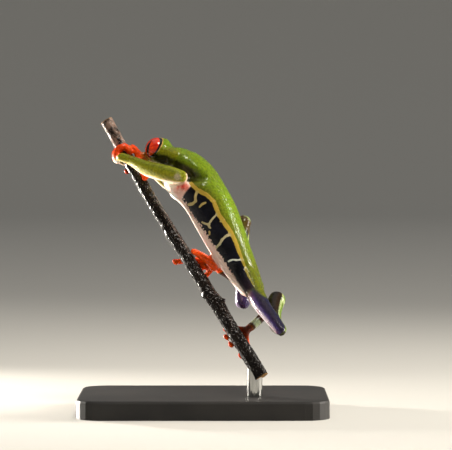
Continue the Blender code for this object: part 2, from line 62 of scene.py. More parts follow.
ORIGIN = np.array((-13.0, 3.0, 62.0))           # on the branch's middle line, over the base
SLOPE = math.atan2(0.539, 0.842)                # the branch leans this far from upright
LEAN_AWAY = math.radians(15.0)                  # and its top leans back by this much
DORSAL = np.array((math.cos(SLOPE), 0.0, math.sin(SLOPE)))
FORWARD = np.array((-math.sin(SLOPE) * math.cos(LEAN_AWAY), math.sin(LEAN_AWAY),
                    math.cos(SLOPE) * math.cos(LEAN_AWAY)))
LEFT = np.cross(DORSAL, FORWARD)
AXES = np.stack((FORWARD, LEFT, DORSAL), axis=1)

HEAD_CENTRE = np.array((18.1, -3.6, 12.0))      # midway between the eyes
HEAD_FLEX, HEAD_YAW = math.radians(40.0), math.radians(20.0)
EYE_SPREAD, EYE_RADIUS = 7.0, 3.85
# forward, outward and up in head axes: the way the pupil looks and its upright, the middle of
# the iris's rim, and the middle of the lids' opening
PUPIL_AIM, SLIT_UP = np.array((0.335, 0.905, -0.26)), np.array((0.013, 0.307, 0.952))
IRIS_AIM, LID_AIM = np.array((0.506, 0.853, 0.124)), np.array((0.556, 0.804, 0.212))
IRIS_ANGLE, LID_ANGLE = 66.0, 79.0              # half the rim and half the opening, in degrees

# middle lines of the limbs, from the body outwards: x, y, z and radius
LEFT_ARM = ((9.0, 4.6, 9.0, 3.0), (7.2, 8.6, 11.2, 2.8), (5.3, 12.1, 12.8, 2.1),
            (6.8, 12.4, 11.3, 2.45), (9.8, 11.2, 8.6, 2.75), (14.8, 8.2, 4.7, 2.5),
            (20.8, 5.4, 1.6, 1.65), (23.9, 4.4, -0.6, 1.5))
RIGHT_ARM = ((9.0, -4.6, 8.6, 3.0), (6.8, -8.4, 10.4, 2.8), (4.4, -12.2, 11.4, 2.2),
             (5.9, -12.0, 10.0, 2.2), (8.8, -9.6, 8.4, 2.3), (12.0, -6.4, 6.8, 2.0),
             (14.9, -3.8, 5.6, 1.55), (16.6, -2.6, 5.3, 1.5))
LEFT_THIGH = ((-32.0, 4.0, 12.7, 3.8), (-38.6, 7.5, 12.4, 3.1), (-45.4, 11.4, 12.5, 2.5),
              (-51.2, 14.7, 13.1, 2.15), (-54.8, 16.6, 13.3, 1.8))
LEFT_TARSUS = ((-41.0, -8.2, 16.6, 2.4), (-42.6, -6.8, 12.9, 1.6), (-44.0, -4.8, 8.7, 1.45),
               (-44.9, -2.9, 5.1, 1.45))
RIGHT_THIGH = ((-33.0, -4.0, 11.9, 3.9), (-27.0, -7.2, 13.2, 3.2), (-20.2, -10.8, 15.2, 2.8),
               (-14.8, -13.2, 18.6, 2.3), (-12.0, -14.2, 21.2, 2.5))


def to_frog(points):
    """Scene metres to the frog's own millimetres."""
    return (points / MM - ORIGIN) @ AXES


def to_scene(points):
    """The frog's own millimetres to scene metres."""
    return (ORIGIN + points @ AXES.T) * MM


def head_axes():
    """The head's forward, left and up, as rows in the frog's axes."""
    cf, sf = math.cos(HEAD_FLEX), math.sin(HEAD_FLEX)
    cy, sy = math.cos(HEAD_YAW), math.sin(HEAD_YAW)
    return np.array(((cf * cy, -sy, -sf * cy), (sy * cf, cy, -sy * sf), (sf, 0.0, cf)))


HEAD_AXES = head_axes()


def eye_centre(side):
    """Centre of the left (1) or right (-1) eye."""
    return HEAD_CENTRE + HEAD_AXES[1] * side * EYE_SPREAD


def on_head(way, side):
    """A direction given forward, outward and up of the head, for one side."""
    way = np.array((way[0], side * way[1], way[2])) @ HEAD_AXES
    return way / np.linalg.norm(way)


def angle_from(way, rays):
    """Degrees between a direction and each of some others."""
    return np.degrees(np.arccos(np.clip(rays @ way, -1.0, 1.0)))


def branch_height(x):
    """The branch's middle line is straight, and bends out a little past x = 3."""
    rise = np.maximum(0.0, x - 3.0)
    return 0.045 * rise * rise / (rise + 4.0)


# --- colours and shader nodes --------------------------------------------------------------

def linear(hex_colour):
    """An sRGB hex colour as the linear values that shaders take."""
    parts = [int(hex_colour[i:i + 2], 16) / 255.0 for i in (0, 2, 4)]
    return np.array([c / 12.92 if c <= 0.04045 else ((c + 0.055) / 1.055) ** 2.4 for c in parts])


def rgba(hex_colour):
    """The same with full opacity, for a shader's socket."""
    return (*linear(hex_colour), 1.0)


def new_material(name, roughness, **sockets):
    """A material with its tree and main shader, whose plain values are set."""
    mat = bpy.data.materials.new(name)
    mat.use_nodes = True
    shader = mat.node_tree.nodes["Principled BSDF"]
    shader.inputs["Roughness"].default_value = roughness
    for socket, value in sockets.items():
        shader.inputs[socket.replace("_", " ")].default_value = value
    return mat, mat.node_tree, shader


def add(tree, kind, inputs=(), **settings):
    """A node with its settings, and its inputs linked to sockets or set to values or hex colours."""
    node = tree.nodes.new("ShaderNode" + kind)
    for name, value in settings.items():
        setattr(node, name, value)
    for key, value in dict(inputs).items():
        if isinstance(value, bpy.types.NodeSocket):
            tree.links.new(value, node.inputs[key])
        else:
            node.inputs[key].default_value = rgba(value) if isinstance(value, str) else value
    return node


def lay(tree, under, over, *limits, mode="MIX"):
    """Lays a colour over another, as far as the limits allow, which are multiplied.

    A limit is a value from 0 to 1, or (value, low, high): 0 at low, rising softly to 1 at
    high, or to a fourth number there."""
    amount = None
    for limit in limits:
        if isinstance(limit, tuple):
            value, low, high, top = (*limit, 1.0)[:4]
            limit = add(tree, "MapRange", {"Value": value, "From Min": low, "From Max": high,
                                           "To Max": top},
                        interpolation_type="SMOOTHSTEP").outputs[0]
        if amount is not None:
            limit = add(tree, "Math", {0: amount, 1: limit}, operation="MULTIPLY").outputs[0]
        amount = limit
    return add(tree, "Mix", {0: amount, 6: under, 7: over}, data_type="RGBA",
               blend_type=mode).outputs[2]


def ragged(tree, distance, grains, depth):
    """The distance to an edge, made uneven by noise of some depth in mm."""
    uneven = add(tree, "Math", {0: grains, 1: 0.5}, operation="SUBTRACT").outputs[0]
    uneven = add(tree, "Math", {0: uneven, 1: depth}, operation="MULTIPLY").outputs[0]
    return add(tree, "Math", {0: distance, 1: uneven}, operation="ADD").outputs[0]


def mm_noise(tree, size_mm, detail=2.0, stretch=(1.0, 1.0, 1.0), roughness=0.5):
    """Noise whose patches are about size_mm across."""
    place = add(tree, "TexCoord").outputs["Object"]
    place = add(tree, "Mapping", {"Vector": place, "Scale": stretch}).outputs[0]
    return add(tree, "TexNoise", {"Vector": place, "Scale": 0.5 / (size_mm * MM),
                                  "Detail": detail, "Roughness": roughness}).outputs["Fac"]


def bumped(tree, shader, heights, coat=False):
    """Bump from (height socket, depth in mm) pairs, under the clear coat or on it as well."""
    normal = None
    for height, depth in heights:
        node = add(tree, "Bump", {"Height": height, "Distance": depth * MM, "Strength": 1.0})
        if normal is not None:
            tree.links.new(normal, node.inputs["Normal"])
        normal = node.outputs[0]
    tree.links.new(normal, shader.inputs["Normal"])
    if coat:
        tree.links.new(normal, shader.inputs["Coat Normal"])


# --- mesh helpers --------------------------------------------------------------------------

WELD = 0.001 * MM                               # points this close are one


def new_object(name, mesh):
    """An object of a mesh, in the scene and at its origin."""
    obj = bpy.data.objects.new(name, mesh)
    bpy.context.scene.collection.objects.link(obj)
    return obj


def select_only(*objects):
    """Selects these and nothing else, with the first one active."""
    bpy.ops.object.select_all(action="DESELECT")
    for obj in objects:
        obj.select_set(True)
    bpy.context.view_layer.objects.active = objects[0]


def open_mesh(obj, action="SELECT"):
    """Opens a mesh in edit mode with all of it selected, or with none by DESELECT."""
    select_only(obj)
    bpy.ops.object.mode_set(mode="EDIT")
    bpy.ops.mesh.select_all(action=action)


def apply_modifier(obj, kind, **values):
    """Puts a modifier of some kind on a mesh for good."""
    mod = obj.modifiers.new(kind.title(), kind)
    for name, value in values.items():
        setattr(mod, name, value)
    select_only(obj)
    bpy.ops.object.modifier_apply(modifier=mod.name)


def merged_copy(name, nodes):
    """A new object with the welded meshes of some solids."""
    copies = [new_object(name, frame["nodes"][node].data.copy()) for node in nodes]
    if len(copies) > 1:
        select_only(*copies)
        bpy.ops.object.join()
    copy = copies[0]
    open_mesh(copy)
    bpy.ops.mesh.remove_doubles(threshold=WELD)
    bpy.ops.object.mode_set(mode="OBJECT")
    copy.data.materials.clear()
    return copy


def keep_outer(obj):
    """Drops the closed pockets that a remesh leaves inside a body."""
    open_mesh(obj, "DESELECT")
    bpy.ops.mesh.select_mode(type="VERT")
    bpy.ops.object.mode_set(mode="OBJECT")
    topmost = int(read(obj.data)[:, 2].argmax())
    obj.data.vertices[topmost].select = True
    bpy.ops.object.mode_set(mode="EDIT")
    bpy.ops.mesh.select_linked()
    bpy.ops.mesh.select_all(action="INVERT")
    bpy.ops.mesh.delete(type="VERT")
    bpy.ops.object.mode_set(mode="OBJECT")


def read(mesh, what="co"):
    """A mesh's points, or its normals, one to a row."""
    values = np.empty(len(mesh.vertices) * 3)
    mesh.vertices.foreach_get(what, values)
    return values.reshape(-1, 3)


def write(mesh, points):
    mesh.vertices.foreach_set("co", points.ravel())
    mesh.update()


def shade_smooth(mesh):
    mesh.polygons.foreach_set("use_smooth", np.ones(len(mesh.polygons), dtype=bool))


def smooth_step(low, high, x):
    t = np.clip((x - low) / (high - low), 0.0, 1.0)
    return t * t * (3.0 - 2.0 * t)


def bump_over(low, high, fade, x):
    """1 between low and high, fading out over fade on both sides."""
    return smooth_step(low - fade, low, x) * smooth_step(high + fade, high, x)


def near_line(points, line):
    """Distance to a broken line, and how far along it the nearest place is."""
    line = np.array(line, dtype=float)
    best = np.full(len(points), 1e9)
    place = np.zeros(len(points))
    done = 0.0
    for a, b in zip(line, line[1:]):
        way = b - a
        length = np.linalg.norm(way)
        t = np.clip((points - a) @ way / length ** 2, 0.0, 1.0)
        away = np.linalg.norm(points - a - t[:, None] * way, axis=1)
        nearer = away < best
        best = np.where(nearer, away, best)
        place = np.where(nearer, done + t * length, place)
        done += length
    return best, place


def set_field(mesh, name, values, kind="FLOAT"):
    """Stores a value, vector or colour for each point, for the shaders."""
    data = mesh.attributes.new(name, kind, "POINT").data
    if kind == "FLOAT":
        data.foreach_set("value", np.asarray(values, dtype=np.float32).ravel())
    elif kind == "FLOAT_VECTOR":
        data.foreach_set("vector", np.asarray(values, dtype=np.float32).ravel())
    else:
        full = np.ones((len(values), 4), dtype=np.float32)
        full[:, :3] = values
        data.foreach_set("color", full.ravel())


# --- skin: its shape -----------------------------------------------------------------------

FLESH = ["head", "trunk"] + [f"{part}_{side}" for side in ("left", "right") for part in
                             ("upper_arm", "forearm", "hand", "thigh", "shank", "tarsus", "foot")]
SWELL = 0.22                                    # the solids grow by this, fuse and shrink back
VOXEL, SMOOTHING = 0.314, 6                     # the fused mesh's spacing, and rounds over it
SOCKET_FILL = 4.0                               # radius of the ball that closes an eye socket
# soft pads and webs between the digits: middle, half sizes up the branch, across and out of it
WEBS = (((25.2, 2.2, 2.6), (1.9, 0.8, 1.1)), ((26.6, 2.6, 0.6), (0.8, 0.8, 1.4)),
        ((15.6, 2.2, 2.2), (1.3, 0.8, 0.8)), ((20.6, 0.8, 3.6), (2.6, 1.2, 1.0)))

# lids: heights over the eyeball of their lining, of their edge and of the skin round them
LID_LINING, LID_EDGE, LID_SKIN = -0.5, 0.26, 0.12
LID_RISE, LID_FADE = (-3.5, 0.5), (3.0, 22.0)   # degrees past the opening: edge, and its run-out
LID_REACH, LID_SPREAD = 5.8, 28.0               # no skin further off than this is shaped

# hollows and folds of the head in its own axes, y outward: line, depth and width
MOUTH = (((-5.0, 8.8, -4.2), (0.0, 8.6, -4.4), (3.5, 6.2, -4.4), (5.8, 3.6, -4.2),
          (7.2, 0.0, -3.9)), 0.28, 0.3)
EAR_FOLD = (((-2.5, 9.4, 0.6), (-6.0, 9.3, -0.2), (-9.0, 9.2, -2.4)), -0.1, 0.5)
NOSTRIL = (((6.3, 1.6, -1.5), (6.5, 1.7, -1.6)), 0.4, 0.26)
DRUM_RADIUS = 1.15
EAR_DRUM = ([(-5.4 + DRUM_RADIUS * math.cos(a), 9.4, -1.6 + DRUM_RADIUS * math.sin(a))
             for a in np.linspace(0.0, 2.0 * math.pi, 13)], 0.08, 0.25)

# the fold between head and shoulder, with its depth and width, and the ridge that shades it
NECK_HOLLOW = ((18.6, 5.6, 7.6, 0.1, 0.9), (16.4, 5.9, 9.2, 0.5, 1.6), (14.2, 6.6, 10.8, 1.0, 2.1),
               (11.0, 7.4, 12.3, 2.1, 2.2), (7.4, 8.2, 13.8, 2.9, 2.3), (4.8, 8.5, 15.4, 2.6, 2.2),
               (3.0, 8.1, 17.3, 1.5, 1.8), (1.6, 7.2, 19.2, 0.3, 1.2))
STRETCHED_SIDE = 0.6                            # the hollow's depth where the head turns away
NECK_RIDGE = ((14.0, 6.6, 13.0), (11.0, 7.5, 15.0), (8.4, 7.9, 16.8), (5.8, 7.8, 18.6))
RIDGE_DEPTH, RIDGE_WIDTH = -0.3, 1.1

# where the thighs leave the trunk, and how far and how long the skin there is smoothed
HIP_LINE = ((-30.5, 7.0, 10.8), (-34.0, 8.5, 11.6), (-36.5, 9.5, 12.0))
HIP_SHARE, HIP_ROUNDS = 0.6, 128


def fused_flesh():
    """One closed mesh round all the solids of flesh."""
    skin = merged_copy("skin", FLESH)
    balls = []
    for middle, sizes in WEBS:
        bpy.ops.mesh.primitive_ico_sphere_add(
            subdivisions=3, radius=MM, location=to_scene(np.array(middle)), scale=sizes,
            rotation=Matrix(AXES).to_euler())
        balls.append(bpy.context.object)
    for side in (1, -1):
        bpy.ops.mesh.primitive_ico_sphere_add(
            subdivisions=4, radius=SOCKET_FILL * MM, location=to_scene(eye_centre(side)))
        balls.append(bpy.context.object)
    select_only(skin, *balls)
    bpy.ops.object.join()
    open_mesh(skin)
    bpy.ops.mesh.normals_make_consistent(inside=False)
    bpy.ops.object.mode_set(mode="OBJECT")
    apply_modifier(skin, "DISPLACE", strength=SWELL * MM, mid_level=0.0)
    apply_modifier(skin, "REMESH", mode="VOXEL", voxel_size=VOXEL * MM)
    keep_outer(skin)
    apply_modifier(skin, "DISPLACE", strength=-SWELL * MM, mid_level=0.0)
    apply_modifier(skin, "SMOOTH", factor=0.5, iterations=SMOOTHING)
    return skin


def mirrored(line, side):
    return [(p[0], side * p[1], p[2]) for p in line]


def on_head_line(line, side):
    """A line given in the head's axes, for one side."""
    return [HEAD_CENTRE + np.array(p) @ HEAD_AXES for p in mirrored(line, side)]


def limb(points, rows):
    """Place along a limb in mm, and the offset from its middle line as a share of its radius."""
    rows = np.array(rows)
    best = np.full(len(points), 1e9)
    place = np.zeros(len(points))
    offset = np.zeros((len(points), 3))
    done = 0.0
    for a, b in zip(rows, rows[1:]):
        way = b[:3] - a[:3]
        length = np.linalg.norm(way)
        t = np.clip((points - a[:3]) @ way / length ** 2, 0.0, 1.0)
        off = points - a[:3] - t[:, None] * way
        away = np.linalg.norm(off, axis=1)
        nearer = away < best
        best = np.where(nearer, away, best)
        place = np.where(nearer, done + t * length, place)
        radius = a[3] + t * (b[3] - a[3])
        offset = np.where(nearer[:, None], off / radius[:, None], offset)
        done += length
    return place, offset


class Skin:
    """The skin's mesh while it is shaped and painted, in the frog's own axes and mm."""

    def __init__(self, mesh):
        self.mesh = mesh
        self.points = to_frog(read(mesh))
        self.normals = None
        edges = np.empty(len(mesh.edges) * 2, dtype=np.int64)
        mesh.edges.foreach_get("vertices", edges)
        self.edges = edges.reshape(-1, 2)
        self.links = np.bincount(edges, minlength=len(self.points)).astype(float)
        self.colour = np.tile(linear(LEAF_GREEN), (len(self.points), 1))

    def store(self):
        """Writes the points to the mesh, and reads its new normals."""
        write(self.mesh, to_scene(self.points))
        self.normals = read(self.mesh, "normal") @ AXES

    def blur(self, values, rounds, share=0.5):
        """Each value moves by a share towards the mean of its neighbours, some rounds over."""
        starts, ends = self.edges.T
        for _ in range(rounds):
            total = (np.bincount(starts, values[ends], len(values))
                     + np.bincount(ends, values[starts], len(values)))
            values = values + share * (total / self.links - values)
        return values

    def press(self, line, depth, width):
        """A groove of some depth along a broken line; a negative depth raises a fold.

        Depth and width are numbers, or one number for each point of the line."""
        away, place = near_line(self.points, line)
        legs = np.linalg.norm(np.diff(np.array(line, dtype=float), axis=0), axis=1)
        stops = np.concatenate(((0.0,), np.cumsum(legs)))
        depth = np.interp(place, stops, np.broadcast_to(depth, stops.shape))
        width = np.interp(place, stops, np.broadcast_to(width, stops.shape))
        self.points -= self.normals * (depth * np.exp(-(away / width) ** 2))[:, None]

    def find_owners(self):
        """Which solid lies nearest to each point, and from that the body and the head."""
        verts, faces, owner = [], [], []
        for index, node in enumerate(FLESH):
            source = frame["nodes"][node].data
            start = len(verts)
            verts += [v.co[:] for v in source.vertices]
            for poly in source.polygons:
                faces.append([start + v for v in poly.vertices])
                owner.append(index)
        tree = BVHTree.FromPolygons(verts, faces)
        self.nearest = np.array([owner[tree.find_nearest(Vector(p))[2]]
                                 for p in to_scene(self.points)])
        # the body's colours run on over the thighs' roots, and end above them at the tail
        x, y, z = self.points.T
        self.top, self.low = flank_edges(x)
        torso = self.nearest_to("trunk", "thigh_left", "thigh_right")
        tail = smooth_step(-0.8, 0.8, x - TAIL_PLACE + 4.6 * smooth_step(-0.3, 0.3, z - self.top))
        torso *= 1.0 - (1.0 - self.nearest_to("trunk")) * (
            1.0 - tail * smooth_step(12.5, 11.0, np.abs(y)))
        self.body = self.blur(torso, 4)
        self.head = self.on("head", rounds=10)

    def nearest_to(self, *names):
        return np.isin(self.nearest, [FLESH.index(n) for n in names]).astype(float)

    def on(self, *names, rounds=3):
        """1 on the named parts, with a soft edge."""
        return self.blur(self.nearest_to(*names), rounds)

    def from_place(self, place):
        return np.linalg.norm(self.points - np.array(place), axis=1)

    def paint(self, mask, colour):
        """Mixes in a hex colour, or an array of linear ones, where the mask is above 0."""
        shade = linear(colour) if isinstance(colour, str) else colour
        self.colour = self.colour * (1.0 - mask[:, None]) + shade * mask[:, None]


def shape_lids(points):
    """The skin passes under each eyeball, and ends round it in a rounded lid edge."""
    lining, edge, skin = (EYE_RADIUS + rise for rise in (LID_LINING, LID_EDGE, LID_SKIN))
    for side in (1, -1):
        centre = eye_centre(side)
        ray = points - centre
        radius = np.linalg.norm(ray, axis=1)
        ray /= radius[:, None]
        past = angle_from(on_head(LID_AIM, side), ray) - LID_ANGLE
        near = (radius < LID_REACH) & (past < LID_SPREAD)
        rim = lining + (edge - lining) * smooth_step(*LID_RISE, past)
        outer = np.maximum(radius, skin)
        goal = rim + (outer - rim) * smooth_step(*LID_FADE, past)
        points[near] = centre + ray[near] * goal[near, None]


def shape_skin(skin):
    """Lids, smooth hips, and then the fine folds of head and neck."""
    shape_lids(skin.points)
    for side in (1, -1):
        away, _ = near_line(skin.points, mirrored(HIP_LINE, side))
        share = HIP_SHARE * smooth_step(5.5, 2.5, away)
        for i in range(3):
            skin.points[:, i] = skin.blur(skin.points[:, i], HIP_ROUNDS, share)
    skin.store()
    for side in (1, -1):
        for line, depth, width in (MOUTH, EAR_FOLD, NOSTRIL, EAR_DRUM):
            skin.press(on_head_line(line, side), depth, width)
        skin.press(mirrored(NECK_RIDGE, side), RIDGE_DEPTH, RIDGE_WIDTH)
        share = 1.0 if side > 0 else STRETCHED_SIDE
        skin.press(mirrored(NECK_HOLLOW, side), [share * p[3] for p in NECK_HOLLOW],
                   [p[4] for p in NECK_HOLLOW])
    skin.store()


# --- skin: its colours ---------------------------------------------------------------------

LEAF_GREEN, SHOULDER_GREEN, RUMP_GREEN, SIDE_GREEN = "6A8210", "5A6C0A", "5E620C", "5A5E0A"
HEAD_GREEN, CHEEK_OLIVE, JAW_CREAM, LID_GOLD = "58700C", "7E7C0C", "DDD0A8", "E6B765"
BELLY_ROSE, BELLY_BLUSH, BELLY_WHITE = "DCB8AA", "F2D8CC", "FAF2EC"
CHEST_CREAM, CHEST_PINK, ARMPIT_RED = "FAEEE2", "DFA090", "E83620"
# the neck colour is a painted shadow for the fold between head and shoulder
NECK_PAINTED_SHADOW, HIP_BROWN = "1A1A03", "2A1A22"
UPPER_ARM_BUFF, HAND_ORANGE, FOREARM_OLIVE, ELBOW_BUFF = "DEC3A8", "E04404", "757A10", "B5A68A"
# shank and knee browns are painted shade; the pale line over them is partly a painted highlight
SHANK_SHADE_BROWN, SHANK_FRONT_SHADE, KNEE_SHADE_BROWN = "241606", "140D07", "503C0C"
PALE_LINE_AND_HIGHLIGHT, RIM_GREEN = "98A46C", "627C14"
# the ankle brown is painted shade on the left foot
FOOT_ORANGE, TARSUS_BROWN, TARSUS_BAND, ANKLE_SHADE_BROWN = "F4520A", "40200F", "9DA888", "5A2412"
HEEL_VIOLET, HEEL_LILAC = "40325C", "988AA4"
# down the forearm's side: where each colour starts and is full, as a share of its radius
FOREARM_BANDS = ((-0.25, 0.25, "8E8C1E"), (0.4, 0.72, "A39E38"), (0.7, 0.88, "DCC07C"),
                 (0.86, 0.96, "F2E6D2"))
# up the thigh's side, in the same measure: violet over a white edge, and brown at its root
# the white edge under the thigh is partly a painted rim highlight
THIGH_SIDE = ((-2.0, "E8E0DC"), (-0.98, "E8E0DC"), (-0.9, "7A5A6C"), (-0.7, "4E3450"),
              (-0.4, "42306A"), (-0.12, "33284C"), (0.1, "281C34"), (0.6, "1E1830"),
              (2.0, "262C44"))
THIGH_ROOT = ((-2.0, "B48E78"), (-0.92, "96684E"), (-0.7, "7E4E3C"), (-0.45, "6E4236"),
              (-0.2, "5E3E50"), (0.0, "3C3C54"), (0.2, "2E2630"), (0.6, "2A181C"),
              (2.0, "402A26"))
# blood-red streaks in the armpit: half width, strength, line
ARMPIT_STREAKS = ((1.6, 1.0, ((5.4, 9.0, 10.9), (4.0, 9.0, 11.4), (2.6, 8.6, 11.9))),
                  (0.9, 0.9, ((3.8, 9.0, 11.4), (2.2, 8.4, 9.8), (0.8, 8.0, 8.4))),
                  (0.8, 0.7, ((4.9, 9.0, 11.0), (3.6, 8.6, 9.4), (2.6, 8.0, 8.2))))
TAIL_PLACE = -37.4                              # the trunk's green ends here, over the thighs
ELBOW, RIGHT_KNEE, RIGHT_HEEL = (5.6, 14.0, 11.6), (-12.5, -15.0, 20.5), (-34.4, -10.8, 7.4)

# the yellow line along the flank, as (place along the body, height over the branch)
BORDER = ((12.0, 12.0), (6.5, 13.2), (3.5, 13.8), (-0.2, 14.6), (-3.4, 16.4), (-6.2, 17.0),
          (-10.8, 16.1), (-16.5, 16.4), (-19.9, 16.2), (-25.8, 14.9), (-31.8, 13.8), (-37.5, 13.4),
          (-39.2, 13.5), (-42.0, 14.4))
BORDER_PLACES = (-41, -36, -28, -20, -8, 2, 8)
BORDER_HALF_WIDTHS = (-0.2, 0.22, 0.45, 0.66, 0.7, 0.6, 0.45)
# the dark flank's lower edge, in the same measures
EDGE_PLACES = (-40.0, -34.0, -26.0, -18.0, -12.0, -5.0, 2.0)
EDGE_HEIGHTS = (9.9, 9.8, 9.8, 9.7, 9.5, 9.0, 9.2)
# the flank's bars: points (place, height), half width, paleness
BARS = ((((-0.6, 14.2), (-1.6, 13.0), (-3.0, 12.1), (-2.9, 10.8), (-2.1, 9.6)), 0.5, 0.15),
        (((-5.1, 14.6), (-5.0, 13.4), (-5.2, 12.3)), 0.42, 0.1),
        (((-10.2, 15.6), (-10.9, 13.4), (-11.5, 11.8)), 0.38, 0.3),
        (((-11.5, 11.8), (-10.6, 10.9), (-9.6, 10.4)), 0.38, 0.25),
        (((-11.5, 11.8), (-12.3, 11.4), (-12.7, 11.6)), 0.35, 0.25),
        (((-12.9, 16.6), (-12.8, 15.4)), 0.35, 0.1),
        (((-13.6, 10.6), (-14.2, 10.2)), 0.4, 0.1),
        (((-18.0, 16.0), (-17.7, 14.4), (-18.0, 13.0), (-18.8, 11.2), (-18.9, 9.9)), 0.48, 0.3),
        (((-26.9, 14.9), (-26.3, 13.6), (-25.3, 12.2), (-24.9, 10.8)), 0.36, 0.85))
BAR_FILLET = 0.16                               # the bars meet the line in small webs, in mm
FLANK_SIDE = 3.0                                # marks lie further than this from the middle
NO_MARK = -5.0


def flank_edges(x):
    """Heights of the yellow line and of the dark flank's lower edge."""
    places = np.array(BORDER)[::-1]
    return (np.interp(x, places[:, 0], places[:, 1]), np.interp(x, EDGE_PLACES, EDGE_HEIGHTS))


def paint_back(skin):
    """Leaf green along the middle, duller at the shoulders, the rump, the sides and the head."""
    x, _, z = skin.points.T
    skin.paint(0.7 * smooth_step(-8.0, 3.0, x) * skin.body, SHOULDER_GREEN)
    skin.paint(0.8 * smooth_step(-22.0, -32.0, x) * skin.body, RUMP_GREEN)
    skin.paint(0.9 * smooth_step(4.2, 0.5, z - skin.top) * skin.body, SIDE_GREEN)
    skin.paint(0.85 * skin.head, HEAD_GREEN)
    skin.paint(0.9 * skin.head * smooth_step(0.8, 0.15, skin.normals[:, 2]), CHEEK_OLIVE)


def paint_underside(skin):
    """Rosy to white belly, cream chest with pink beside it, and red streaks in the armpits."""
    x, _, z = skin.points.T
    above_edge = z - skin.low
    reach = 0.6 + 2.0 * smooth_step(-30.0, -22.0, x)
    belly = smooth_step(reach, reach - 1.0, above_edge) * skin.body * smooth_step(9.0, 4.0, x)
    skin.paint(belly, BELLY_ROSE)
    skin.paint(belly * smooth_step(0.0, -1.4, above_edge), BELLY_BLUSH)
    skin.paint(belly * smooth_step(7.8, 6.4, z), BELLY_WHITE)
    chest = smooth_step(0.2, 1.6, x) * smooth_step(0.3, -0.8, z - skin.top) * skin.body
    skin.paint(chest, CHEST_CREAM)
    pink = bump_over(0.2, 4.0, 1.4, x) * bump_over(8.4, 12.6, 1.2, z)
    skin.paint(0.75 * chest * pink, CHEST_PINK)
    for side in (1, -1):
        for wide, strength, line in ARMPIT_STREAKS:
            away, place = near_line(skin.points, mirrored(line, side))
            fading = np.interp(place, (0.0, 2.2, 4.8), (1.0, 0.85, 0.0))
            streak = smooth_step(wide, 0.3 * wide, away)
            skin.paint(strength * fading * chest * streak, ARMPIT_RED)


def paint_head_and_neck(skin):
    """Cream jaw, a gold line round each eye, a painted shadow in the neck's fold, brown hips."""
    x, _, z = skin.points.T
    over_head = (skin.points - HEAD_CENTRE) @ HEAD_AXES[2]
    skin.paint(skin.head * smooth_step(-3.6, -4.8, over_head), JAW_CREAM)
    for side in (1, -1):
        ray = skin.points - eye_centre(side)
        radius = np.linalg.norm(ray, axis=1)
        past = angle_from(on_head(LID_AIM, side), ray / radius[:, None]) - LID_ANGLE
        skin.paint((radius < 5.0) * bump_over(-6.0, 1.0, 1.0, past), LID_GOLD)
    # painted shadow: near black along the fold between head and shoulder, where the head's shade
    # falls
    away, place = near_line(skin.points, [p[:3] for p in NECK_HOLLOW])
    wide = np.interp(place, (0.0, 3.0, 6.0, 9.0, 15.0, 21.0), (1.2, 1.9, 2.4, 2.7, 2.8, 1.3))
    strength = np.interp(place, (0.0, 1.6, 17.0, 21.6), (0.2, 0.94, 0.9, 0.0))
    painted_shadow = smooth_step(wide, wide - 0.9, away) * strength
    skin.paint(painted_shadow * np.maximum(skin.body, skin.head), NECK_PAINTED_SHADOW)
    hip = skin.body * smooth_step(-24.0, -29.0, x) * smooth_step(0.4, -0.4, z - skin.top)
    skin.paint(hip * smooth_step(-0.5, 0.5, z - skin.low), HIP_BROWN)


def paint_arms(skin):
    """Buff upper arms, orange hands, and forearms olive above and cream along the lower edge."""
    x, y, z = skin.points.T
    for name, side, rows, lower in (("left", 1, LEFT_ARM, (-0.58, 0.0, -0.81)),
                                    ("right", -1, RIGHT_ARM, (-0.5, 0.0, -0.86))):
        _, offset = limb(skin.points, rows)
        skin.paint(skin.on("upper_arm_" + name), UPPER_ARM_BUFF)
        hand = skin.on("hand_" + name, rounds=2)
        skin.paint(hand, HAND_ORANGE)
        fore = skin.on("forearm_" + name)
        if name == "left":
            # the forearm's colours run out over the back of the wrist
            sleeve = np.maximum(smooth_step(1.4, 0.6, z), smooth_step(4.2, 4.9, y))
            fore = np.maximum(fore, hand * sleeve * smooth_step(25.2, 24.4, x))
        under = offset @ np.array(lower)
        skin.paint(fore, FOREARM_OLIVE)
        for start, full, shade in FOREARM_BANDS:
            skin.paint(fore * smooth_step(start, full, under), shade)
        elbow = skin.from_place((ELBOW[0], side * ELBOW[1], ELBOW[2]))
        skin.paint(0.8 * fore * smooth_step(1.5, 0.8, elbow), ELBOW_BUFF)


def ramp(value, stops):
    """Colours read off a row of (value, hex colour) stops."""
    places = [stop for stop, _ in stops]
    shades = np.array([linear(shade) for _, shade in stops])
    return np.stack([np.interp(value, places, shades[:, i]) for i in range(3)], axis=1)


